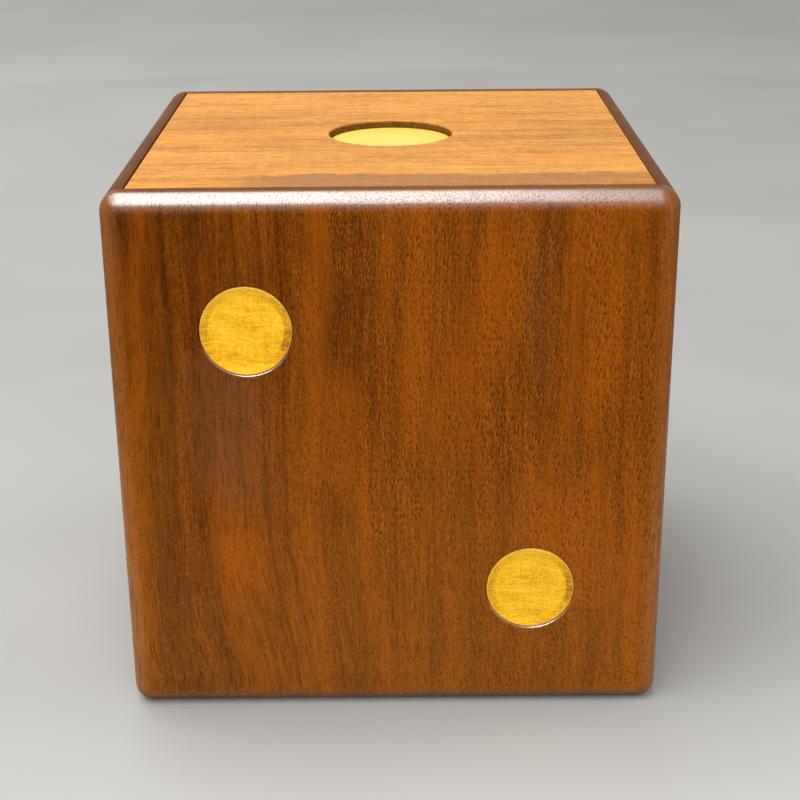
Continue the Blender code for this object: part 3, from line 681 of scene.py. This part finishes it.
def side_loop(us, vs, reach_u, reach_v, depth, square):
    """A loop around the board at one depth. It stands off the flat by reach_u and reach_v."""
    flat_u = us[-1]
    flat_v = vs[-1]
    corner = []
    for step in range(1, CORNER_STEPS):
        turn = pi / 2 * step / CORNER_STEPS
        size = max(sin(turn), cos(turn)) if square else 1.0
        corner.append((sin(turn) / size, cos(turn) / size))
    points = [(u, -flat_v - reach_v) for u in us]
    points += [(flat_u + reach_u * s, -flat_v - reach_v * c) for s, c in corner]
    points += [(flat_u + reach_u, v) for v in vs]
    points += [(flat_u + reach_u * c, flat_v + reach_v * s) for s, c in corner]
    points += [(u, flat_v + reach_v) for u in reversed(us)]
    points += [(-flat_u - reach_u * s, flat_v + reach_v * c) for s, c in corner]
    points += [(-flat_u - reach_u, v) for v in reversed(vs)]
    points += [(-flat_u - reach_u * c, -flat_v - reach_v * s) for s, c in corner]
    return [(u, v, -depth) for u, v in points]


def reach_at(depth, radius, thick, inner_radius):
    """How far a rounded side stands off the flat at a depth, between its outer and inner roundings."""
    short = max(radius - depth, 0.0)
    reach = sqrt(max(radius ** 2 - short ** 2, 0.0))
    past = max(depth - (thick - inner_radius), 0.0)
    return reach - (inner_radius - sqrt(max(inner_radius ** 2 - past ** 2, 0.0)))


def arc_depths(radius, steps):
    return [radius * (1 - cos(pi / 2 * step / steps)) for step in range(steps + 1)]


def board_mesh(half_u, half_v, edge_u, edge_v, thick, cell, outer_holes, inner_holes=()):
    """A board with rounded or eased edges and round holes, as one closed mesh."""
    cells_u = grid_lines(half_u - edge_u, cell)
    cells_v = grid_lines(half_v - edge_v, cell)
    us = sorted({round(u, 9) for cell_us in cells_u for u in cell_us})
    vs = sorted({round(v, 9) for cell_vs in cells_v for v in cell_vs})
    square = edge_u != edge_v or edge_u < EDGE_RADIUS / 2
    depths = set(arc_depths(edge_u, EDGE_STEPS if edge_u > ARRIS else ARRIS_STEPS))
    depths |= set(arc_depths(edge_v, EDGE_STEPS if edge_v > ARRIS else ARRIS_STEPS))
    depths |= {thick - depth for depth in arc_depths(ARRIS, ARRIS_STEPS)}
    bm = bmesh.new()
    fill_sheet(bm, cells_u, cells_v, 0.0, outer_holes)
    fill_sheet(bm, cells_u, cells_v, thick, inner_holes)
    loops = []
    last = -1.0
    for depth in sorted(depths):
        if depth - last > MERGE / 2:
            reach_u = reach_at(depth, edge_u, thick, ARRIS)
            reach_v = reach_at(depth, edge_v, thick, ARRIS)
            loops.append(side_loop(us, vs, reach_u, reach_v, depth, square))
            last = depth
    loops.append(side_loop(us, vs, 0.0, 0.0, thick, square))
    join_loops(bm, loops)
    bmesh.ops.remove_doubles(bm, verts=bm.verts, dist=MERGE)
    bmesh.ops.dissolve_degenerate(bm, edges=bm.edges, dist=DEGENERATE)
    bmesh.ops.recalc_face_normals(bm, faces=bm.faces)
    return bm


def hand_finish(bm, place, seed):
    """Take a hair of wood off unevenly, more on the rounded edges, as sanding by hand does."""
    bm.normal_update()
    limit = HALF - EDGE_RADIUS
    moves = []
    for vert in bm.verts:
        world = place @ vert.co
        reach = sorted((abs(world.x), abs(world.y), abs(world.z - HALF)))
        edge = min(max((reach[1] - limit) / EDGE_RADIUS, 0.0), 1.0)
        amount = SANDED_FLAT + (SANDED_EDGE - SANDED_FLAT) * edge
        wave = 0.5 + 0.5 * noise.noise(world / SANDED_WAVE + Vector((seed, 0, 0)))
        moves.append(vert.normal * (-amount * min(max(wave, 0.0), 1.0)))
    for vert, move in zip(bm.verts, moves):
        vert.co += move


def make_piece(name, bm, material, body, place=Matrix(), replaces=(), sharp=40):
    mesh = bpy.data.meshes.new(name)
    bm.to_mesh(mesh)
    bm.free()
    mesh.materials.append(material)
    mesh.shade_smooth()
    mesh.set_sharp_from_angle(angle=radians(sharp))
    obj = bpy.data.objects.new(name, mesh)
    bpy.context.scene.collection.objects.link(obj)
    obj.matrix_world = place
    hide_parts(*replaces)
    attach(obj, body)
    return obj


def turned_mesh(profile, steps=PIP_STEPS):
    """A closed solid of revolution about Z from (radius, height) pairs, lowest first."""
    bm = bmesh.new()
    rows = join_loops(bm, [circle((0, 0), radius, -height, steps) for radius, height in profile])
    bm.faces.new(rows[0])
    bm.faces.new(rows[-1])
    bmesh.ops.recalc_face_normals(bm, faces=bm.faces)
    return bm


def quarter(radius, height, size, steps=5):
    """Quarter round from an upright wall at radius over to a flat top at height."""
    turns = [pi / 2 * step / steps for step in range(steps + 1)]
    return [(radius - size * (1 - cos(turn)), height - size * (1 - sin(turn))) for turn in turns]


# ---- Pieces ----

def pip_holes(face):
    holes = []
    for _, middle, radius in pips_of(face):
        holes.append((middle, radius + POCKET_GAP, POCKET_LIP, POCKET_DEPTH, True))
    return holes


def cut(obj, bm):
    """Cut a closed shape out of a piece, for good."""
    mesh = bpy.data.meshes.new("cutter")
    bmesh.ops.recalc_face_normals(bm, faces=bm.faces)
    bm.to_mesh(mesh)
    bm.free()
    cutter = bpy.data.objects.new("cutter", mesh)
    bpy.context.scene.collection.objects.link(cutter)
    modifier = obj.modifiers.new("cut", "BOOLEAN")
    modifier.solver = "EXACT"
    modifier.object = cutter
    bpy.context.view_layer.update()
    cleaned = bpy.data.meshes.new_from_object(obj.evaluated_get(bpy.context.evaluated_depsgraph_get()))
    obj.modifiers.clear()
    obj.data = cleaned
    bpy.data.objects.remove(cutter)


def pivot_shape():
    """The pivot pins' holes, along one axis through both side boards and the lid's edges."""
    bm = bmesh.new()
    radius = (PIN_HIGH.z - PIN_LOW.z) / 2 + PIVOT_GAP
    middle = (PIN_LOW + PIN_HIGH) / 2
    half = (PIN_HIGH.x - PIN_LOW.x) / 2 + 2 * PIVOT_GAP
    for x in (middle.x, -middle.x):
        place = Matrix.Translation((x, middle.y, middle.z)) @ Matrix.Rotation(pi / 2, 4, "Y")
        ends = [circle((0, 0), radius, depth, PIVOT_STEPS) for depth in (half, -half)]
        rows = join_loops(bm, [[place @ Vector(point) for point in end] for end in ends])
        bm.faces.new(rows[0])
        bm.faces.new(rows[-1])
    return bm


def build_walls(materials):
    outer = {"two": "front_board", "five": "back_board"}
    side = {"three": "right_board", "four": "left_board"}
    for number, (face, node) in enumerate({**outer, **side}.items()):
        if face in outer:
            half_u, edge_u, thick = HALF, EDGE_RADIUS, FRONT_THICK
        else:
            half_u, edge_u, thick = SIDE_END, ARRIS, SIDE_THICK
        bm = board_mesh(half_u, CUBE / 2, edge_u, EDGE_RADIUS, thick, CELL, pip_holes(face))
        place = face_frame(face)
        hand_finish(bm, place, 3.0 * number)
        piece = make_piece(node.replace("board", "wall"), bm, materials[node], "case", place, [node])
        if face in side:
            cut(piece, pivot_shape())


def build_bottom(material):
    half_u = BOTTOM_HIGH.x
    half_v = BOTTOM_HIGH.y
    bm = board_mesh(half_u, half_v, ARRIS, ARRIS, BOTTOM_THICK, CELL, pip_holes("six"))
    make_piece("bottom_panel", bm, material, "case", face_frame("six"), ["bottom_board"])


def build_lid(material):
    middle = (LID_LOW + LID_HIGH) / 2
    half = (LID_HIGH - LID_LOW) / 2 + Vector((LID_SEAM_FILL, 0, 0))
    radius = (KEY_HIGH.x - KEY_LOW.x) / 2 + KEY_GAP
    at = (-middle.x, -middle.y)
    bore = [(at, radius, KEY_LIP, LID_THICK / 2, False)]
    bm = board_mesh(half.x, half.y, ARRIS, ARRIS, LID_THICK, LID_CELL, bore, bore)
    bmesh.ops.translate(bm, vec=(middle.x, middle.y, 0), verts=bm.verts)
    place = face_frame("one")
    hand_finish(bm, place, 20.0)
    piece = make_piece("lid_panel", bm, material, "lid", place, ["lid_board"])
    cut(piece, pivot_shape())


def build_pips(material):
    """Each small pip is a little different: its dish, its height and its tilt."""
    for face in TURNS:
        for node, middle, radius in pips_of(face):
            chance = random.Random(node)
            top = -PIP_SUNK - chance.uniform(*TOP_SPREAD) * MM
            floor = top - PIP_DISH - chance.uniform(*FLOOR_SPREAD) * MM
            inner = radius - PIP_RIM - chance.uniform(*RIM_SPREAD) * MM
            profile = [(radius - PIP_FOOT, -PIP_SUNK - PIP_THICK), (radius, -PIP_SUNK - PIP_THICK + PIP_FOOT)]
            profile += quarter(radius, top, PIP_ARRIS)
            rim = radius - PIP_ARRIS
            for step in range(1, RIM_STEPS + 1):
                share = step / RIM_STEPS
                fall = share * share * (3 - 2 * share) * 0.35 + share * 0.65
                profile.append((rim + (inner - rim) * share, top + (floor - top) * fall))
            profile += [(inner * share, floor) for share in (0.94, *DISC_SHARES)]
            bm = turned_mesh(profile)
            for vert in bm.verts:
                if vert.co.z > -PIP_SUNK - PIP_THICK / 2 and vert.co.xy.length < rim:
                    at = Vector((vert.co.x / (2.2 * MM), vert.co.y / (1.1 * MM), radius * 900 + top))
                    vert.co.z += CARVED * noise.noise(at)
            tilt = Euler((radians(chance.uniform(*TILT_SPREAD)), radians(chance.uniform(*TILT_SPREAD)), 0))
            place = face_frame(face) @ Matrix.Translation((*middle, 0)) @ tilt.to_matrix().to_4x4()
            make_piece(node.replace("_pip_", "_inlay_"), bm, material, "case", place, [node])


def build_key(material):
    radius = (KEY_HIGH.x - KEY_LOW.x) / 2
    height = KEY_HIGH.z - KEY_LOW.z
    profile = [(radius - PIP_FOOT, -height), (radius, -height + PIP_FOOT)]
    profile += quarter(radius, 0.0, KEY_ARRIS)
    profile += [(radius * share, 0.0) for share in (0.96, *DISC_SHARES)]
    bm = turned_mesh(profile, KEY_STEPS)
    place = Matrix.Translation((0, 0, KEY_HIGH.z))
    make_piece("one_inlay", bm, material, "key", place, ["one_pip"])


def build_felt(material):
    """A pad of wool felt: its edges are soft, and its top is a little uneven."""
    low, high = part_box("felt_pad")
    thick = high.z - low.z
    half_u = (high.x - low.x) / 2
    half_v = (high.y - low.y) / 2
    rounding = thick * FELT_ROUNDING
    us = spread(-half_u + rounding, half_u - rounding, FELT_GRID[0])
    vs = spread(-half_v + rounding, half_v - rounding, FELT_GRID[1])
    bm = bmesh.new()
    join_loops(bm, [[(u, v, 0.0) for u in us] for v in vs], closed=False)
    join_loops(bm, [[(u, v, -thick) for u in us] for v in vs], closed=False)
    depths = sorted(set(arc_depths(rounding, 6)) | {thick - FELT_FOOT, thick})
    reaches = [reach_at(depth, rounding, thick, FELT_FOOT) for depth in depths]
    loops = [side_loop(us, vs, reach, reach, depth, False) for reach, depth in zip(reaches, depths)]
    loops.append(side_loop(us, vs, 0.0, 0.0, thick, False))
    join_loops(bm, loops)
    bmesh.ops.remove_doubles(bm, verts=bm.verts, dist=MERGE)
    bmesh.ops.dissolve_degenerate(bm, edges=bm.edges, dist=DEGENERATE)
    bmesh.ops.recalc_face_normals(bm, faces=bm.faces)
    bm.normal_update()
    for vert in bm.verts:
        if vert.co.z > -thick * 0.9:
            lumps = noise.noise(vert.co / (6 * MM)) * 0.10 + noise.noise(vert.co / (1.1 * MM)) * 0.07
            vert.co -= vert.normal * MM * (FELT_SUNK + lumps)
    place = Matrix.Translation(((low.x + high.x) / 2, (low.y + high.y) / 2, high.z))
    make_piece("felt_lining", bm, material, "case", place, ["felt_pad"], sharp=80)


def dress_cad_nodes(materials):
    """CAD nodes whose shapes stay as they are."""
    for names, material in materials:
        for name in names:
            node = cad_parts[name]
            node.data.materials.clear()
            node.data.materials.append(material)


def build_object():
    front_streaks = [
        (-38.5, 7.0, -0.16), (-31, 2.6, -0.12), (-27, 14.0, -0.07), (-24, 3.5, 0.10), (-9.5, 5.0, -0.10),
        (13, 3.0, -0.07), (22, 5.0, 0.03), (32, 9.0, 0.05), (-24.8, 0.6, -0.17), (-20.8, 0.5, -0.15),
        (-17.6, 0.4, -0.12), (-35.5, 0.5, -0.12), (-11.5, 0.5, -0.10), (28.5, 0.5, -0.09),
    ]
    front_patches = [
        (-27, 5, 13, 15, HAZE, 0.38), (24, 24, 3.5, 18, HAZE, 0.20), (-26, -19, 6, 10, AMBER, 0.55),
        (-8, 3, 7, 12, AMBER, 0.40), (30, -14, 10, 14, AMBER, 0.50),
    ]
    back_patches = [
        (20, 10, 12, 14, HAZE, 0.6), (-22, -8, 8, 14, AMBER, 0.5), (5, 20, 6, 12, AMBER, 0.4),
    ]
    left_patches = [(-14, -12, 10, 12, HAZE, 0.55), (18, 14, 9, 15, AMBER, 0.5)]
    right_patches = [(16, 18, 9, 13, HAZE, 0.55), (-20, -10, 10, 16, AMBER, 0.5)]
    build_walls({
        "front_board": wood(
            "walnut_front", "v", 2.0, WALNUT, front_streaks, (-20.0, 26.0, 5.0), (-26.0, 2.0), corner=-0.12,
            patches=front_patches,
        ),
        "back_board": wood(
            "walnut_back", "v", 31.0, WALNUT, [(-14, 7.0, -0.14), (18, 6.0, 0.10)], (16, 28, -5.0),
            patches=back_patches,
        ),
        "left_board": wood(
            "walnut_left", "v", 47.0, SIDE_WALNUT, [(8, 6.0, -0.14), (-20, 9.0, 0.10)], (10, 25, 4.0),
            patches=left_patches,
        ),
        "right_board": wood(
            "walnut_right", "v", 63.0, SIDE_WALNUT, [(-6, 5.0, -0.12), (24, 8.0, 0.12)], (-12, 22, 4.0),
            patches=right_patches,
        ),
    })
    build_bottom(wood("walnut_bottom", "u", 77.0, WALNUT))
    smoke = (-33.0, -22.0, (0.225, 0.105, 0.046))
    build_lid(wood("walnut_lid", "u", 12.0, LID_WALNUT, smoke=smoke, bore=LID_THICK / MM))
    pip_radius = next(pips_of("two"))[2]
    key_radius = (KEY_HIGH.x - KEY_LOW.x) / 2
    build_pips(pip_wood("yellow_inlay", YELLOW, pip_radius, PIP_RIM, 5.0))
    build_key(pip_wood("pale_inlay", PALE_YELLOW, key_radius, NO_RIM, 15.0))
    build_felt(felt_cloth("wool_felt"))

    liner = wood("cherry_liner", "u", 91.0, CHERRY)
    block = wood("maple_block", "v", 105.0, MAPLE)
    brass = metal("brushed_brass", (0.42, 0.260, 0.070), (0.82, 0.580, 0.230), 0.36, 2.0)
    turned = (3.0, 3.0, 3.0)
    bright_brass = metal("turned_brass", (0.62, 0.45, 0.19), (0.95, 0.760, 0.400), 0.22, 9.0, turned, 0.9)
    steel = metal("ground_steel", (0.30, 0.30, 0.31), (0.62, 0.63, 0.65), 0.24, 14.0)
    dress_cad_nodes([
        (["liner_front", "liner_left", "liner_right", "false_back"], liner),
        (["lock_housing"], block),
        (["lock_cover", "strike_plate", "lock_bolt", "key_weight"], brass),
        (["pivot_pin_left", "pivot_pin_right", "strike_screw_left", "strike_screw_right"], bright_brass),
        ([f"cover_screw_{number}" for number in (1, 2, 3, 4)], bright_brass),
        (["cross_pin"], steel),
    ])


# ---- Stage ----

FLOOR = (0.001, 4.0)        # inner and outer radius in metres
FLAG = (0.15, 0.6)
FLAG_HEIGHT = 0.0005
RING_STEPS = 96
LIGHT_POOL_MIDDLE = (30.0, -150.0, 0.0)   # middle of a painted pool of light on the floor, in mm
LIGHT_POOL_RADIUS = 170.0
GLOW_REACH = (760.0, 1600.0)        # where the floor starts to glow with painted light, fading into the backdrop, in mm
GLOW = 0.21
HORIZON = (0.54, 0.54, 0.53, 1.0)
SKY = (0.42, 0.42, 0.43, 1.0)
SKY_STRENGTH = 0.95
WARM_WHITE = (1.0, 0.98, 0.95)
LIGHTS = [      # name, place, aim, size, power in watts, colour
    ("overhead", (-0.33, -0.05, 0.78), (-0.33, -0.05, 0.0), (0.86, 1.4), 16.0, (1.0, 0.985, 0.96)),
    ("front_fill", (0.1, -1.3, 0.85), (0, 0, 0.04), (1.3, 0.7), 12.0, WARM_WHITE),
    ("right_fill", (1.6, 0.35, 0.95), (0, 0, 0.04), (1.1, 1.1), 8.0, WARM_WHITE),
    ("back_fill", (-0.5, 1.6, 0.95), (0, 0, 0.04), (1.1, 1.1), 8.0, WARM_WHITE),
]

SENSOR_WIDTH = 36.0
FOCAL_LENGTH = 71.7
CAMERA_PLACE = Vector((0.016, -3.1405, 1.6508))     # in sides of the cube
CAMERA_DOWN = 21.24         # degrees
CAMERA_TURN = 0.03
CAMERA_ROLL = -0.48


def stage_ring(name, radii, height, material):
    """A flat ring that belongs to the stage and not to the object."""
    bm = bmesh.new()
    join_loops(bm, [circle((0, 0), radius, 0.0, RING_STEPS) for radius in radii])
    mesh = bpy.data.meshes.new(name)
    bm.to_mesh(mesh)
    bm.free()
    mesh.materials.append(material)
    piece = bpy.data.objects.new(name, mesh)
    piece.location.z = height
    bpy.context.scene.collection.objects.link(piece)
    return piece


def build_floor():
    g = Graph("pale_floor")
    where = g.combine(*g.place())
    cloud = g.noise(where, (0.01, 0.01, 0.01), 4.0, 2.0)
    colour = g.mix(g.ramp_up(cloud, 0.2, 0.8), (0.262, 0.262, 0.254), (0.288, 0.288, 0.280))
    near = g.node("ShaderNodeVectorMath", {0: where, 1: LIGHT_POOL_MIDDLE}, operation="DISTANCE").outputs["Value"]
    # painted light: a brighter pool on the floor in front of the box
    colour = g.mix(g.ramp_up(near, LIGHT_POOL_RADIUS, 0.0), colour, (0.47, 0.47, 0.46))
    away = g.node("ShaderNodeVectorMath", {0: where}, operation="LENGTH").outputs["Value"]
    # painted light: the far floor glows, so that it fades into the backdrop
    material = g.finish(
        Base_Color=colour, Roughness=0.8, Specular_IOR_Level=0.15, Emission_Color=(1.0, 1.0, 0.98),
        Emission_Strength=g.ramp_up(away, *GLOW_REACH, 0.0, GLOW),
    )
    stage_ring("floor", FLOOR, 0.0, material)


def build_flag():
    """A dark ring of painted shade that only reflections see, standing for the shade on the floor in front of
    the box: it keeps the pale floor from washing out the upright faces.
    """
    g = Graph("dark_flag")
    flag = stage_ring("flag", FLAG, FLAG_HEIGHT, g.finish(Base_Color=(0.07, 0.07, 0.07), Roughness=1.0))
    flag.visible_camera = False
    flag.visible_diffuse = False
    flag.visible_shadow = False
    flag.visible_transmission = False


def build_world():
    """A pale room, a little brighter at the horizon."""
    world = bpy.data.worlds.new("studio")
    bpy.context.scene.world = world
    world.use_nodes = True
    tree = world.node_tree
    split = tree.nodes.new("ShaderNodeSeparateXYZ")
    tree.links.new(tree.nodes.new("ShaderNodeTexCoord").outputs["Generated"], split.inputs[0])
    ramp = tree.nodes.new("ShaderNodeValToRGB")
    tree.links.new(split.outputs["Z"], ramp.inputs[0])
    low, high = ramp.color_ramp.elements
    low.color = HORIZON
    high.color = SKY
    high.position = 0.5
    background = tree.nodes["Background"]
    tree.links.new(ramp.outputs["Color"], background.inputs["Color"])
    background.inputs["Strength"].default_value = SKY_STRENGTH


def build_lights():
    for name, place, aim, size, power, colour in LIGHTS:
        data = bpy.data.lights.new(name, "AREA")
        data.shape = "RECTANGLE"
        data.size, data.size_y = size
        data.energy = power
        data.color = colour
        light = bpy.data.objects.new(name, data)
        light.location = place
        light.rotation_euler = (Vector(aim) - Vector(place)).to_track_quat("-Z", "Y").to_euler()
        light.visible_camera = False
        light.visible_glossy = name == "overhead"
        bpy.context.scene.collection.objects.link(light)


def build_camera():
    """A long lens a little above the box, looking straight at the two with a trace of roll."""
    data = bpy.data.cameras.new("camera")
    data.sensor_width = SENSOR_WIDTH
    data.lens = FOCAL_LENGTH
    data.clip_start = 0.01
    data.clip_end = 20.0
    camera = bpy.data.objects.new("camera", data)
    camera.location = CAMERA_PLACE * CUBE
    aim = Matrix.Rotation(radians(CAMERA_TURN), 4, "Z") @ Matrix.Rotation(radians(90 - CAMERA_DOWN), 4, "X")
    camera.rotation_euler = (aim @ Matrix.Rotation(radians(CAMERA_ROLL), 4, "Z")).to_euler()
    bpy.context.scene.collection.objects.link(camera)
    bpy.context.scene.camera = camera


build_object()
build_floor()
build_flag()
build_world()
build_lights()
build_camera()
bpy.context.scene.view_settings.view_transform = "Standard"
